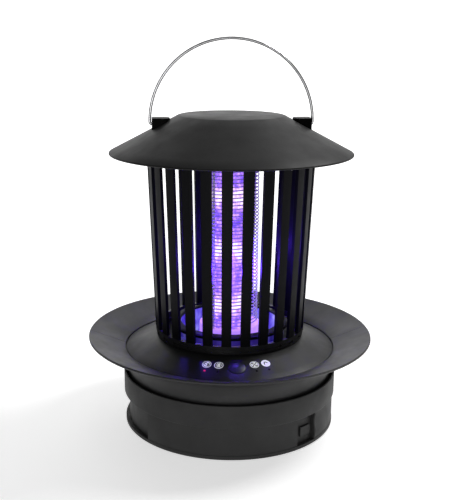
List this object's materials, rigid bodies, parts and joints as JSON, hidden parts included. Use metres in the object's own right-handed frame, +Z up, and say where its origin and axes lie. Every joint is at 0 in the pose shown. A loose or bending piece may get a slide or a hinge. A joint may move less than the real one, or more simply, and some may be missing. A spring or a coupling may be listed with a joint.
{
  "type": "electric bug zapper",
  "caption": "Lantern-style bug zapper: round base with controls and upturned brim, slatted guard round an ultraviolet lamp and wire grid, catch cup, conical roof, wire bail.",
  "frame": {"origin": "centre of the footprint, on the ground under the rubber feet", "axes": "+Z up, the control panel faces -Y, the bail's pivot axis lies along X"},
  "size_m": [0.2796, 0.2796, 0.3775],
  "materials": {
    "housing_black": "moulded matt black, fine texture",
    "brim_black": "satin black moulding",
    "deck_black": "matt black moulding",
    "guard_black": "satin black moulding",
    "roof_black": "matt black moulding, fine texture",
    "lug_black": "gloss black",
    "button_black": "satin black",
    "rubber_black": "matt rubber",
    "bail_wire": "bright plated wire",
    "screw_steel": "zinc plated",
    "grid_steel": "bright drawn wire",
    "core_aluminium": "satin extrusion",
    "cup_clear": "clear moulding",
    "pedestal_clear": "milky moulding",
    "lamp_tube": "violet tinted clear tube",
    "lamp_white": "white moulding",
    "uv_led": "lit light-emitting diode",
    "led_board": "white solder mask",
    "led_red": "lit red indicator",
    "led_dark": "unlit indicator",
    "icon_white": "printed white disc",
    "circuit_green": "solder mask",
    "hv_potting": "potted block",
    "lead_red": "insulated wire",
    "cell_wrap": "shrink wrapped cell"
  },
  "bodies": {
    "base": {"base_plate": "housing_black", "rubber_feet": "rubber_black", "base_screws": "screw_steel", "base_housing": "housing_black", "base_gasket": "rubber_black", "port_socket": "screw_steel", "battery_cells": "cell_wrap", "battery_tray": "housing_black", "bowl": "housing_black", "brim_front": "brim_black", "brim_rear": "brim_black", "brim_clips": "brim_black", "deck": "deck_black", "icon_discs": "icon_white", "led_lens_lit": "led_red", "led_lenses_dark": "led_dark", "switch_board": "circuit_green", "control_board": "circuit_green", "hv_module": "hv_potting", "hv_leads": "lead_red", "catch_cup": "cup_clear", "cup_rim": "guard_black", "grid_base": "pedestal_clear", "grid_posts": "lamp_white", "grid_wire_a": "grid_steel", "grid_wire_b": "grid_steel", "grid_cap": "guard_black", "lamp_core": "core_aluminium", "led_boards": "led_board", "uv_leds": "uv_led", "lamp_tube": "lamp_tube", "lamp_cap": "lamp_white"},
    "guard": {"guard_lower_ring": "guard_black", "guard_slats": "guard_black", "guard_upper_ring": "guard_black", "grid_locator": "guard_black", "roof_liner": "roof_black", "roof_screws": "screw_steel", "roof_canopy": "roof_black", "bail_lug_left": "lug_black", "bail_lug_right": "lug_black"},
    "bail": {"bail_wire": "bail_wire"},
    "button": {"mode_button": "button_black"},
    "port_flap": {"port_flap": "rubber_black"}
  },
  "joints": [
    {"name": "guard_lift", "type": "slide", "parent": "base", "child": "guard", "axis": [0, 0, 1], "range_m": [0, 0.17]},
    {"name": "bail_swing", "type": "hinge", "parent": "guard", "child": "bail", "pos_m": [0, 0, 0.297], "axis": [1, 0, 0], "range_deg": [-93, 93]},
    {"name": "button_press", "type": "slide", "parent": "base", "child": "button", "axis": [0, 0.3809, -0.9246], "range_m": [0, 0.0015], "stiffness_N_per_m": 600},
    {"name": "flap_open", "type": "hinge", "parent": "base", "child": "port_flap", "pos_m": [0.06537, -0.07791, 0.013], "axis": [0.766, 0.6428, 0], "range_deg": [0, 100]}
  ]
}
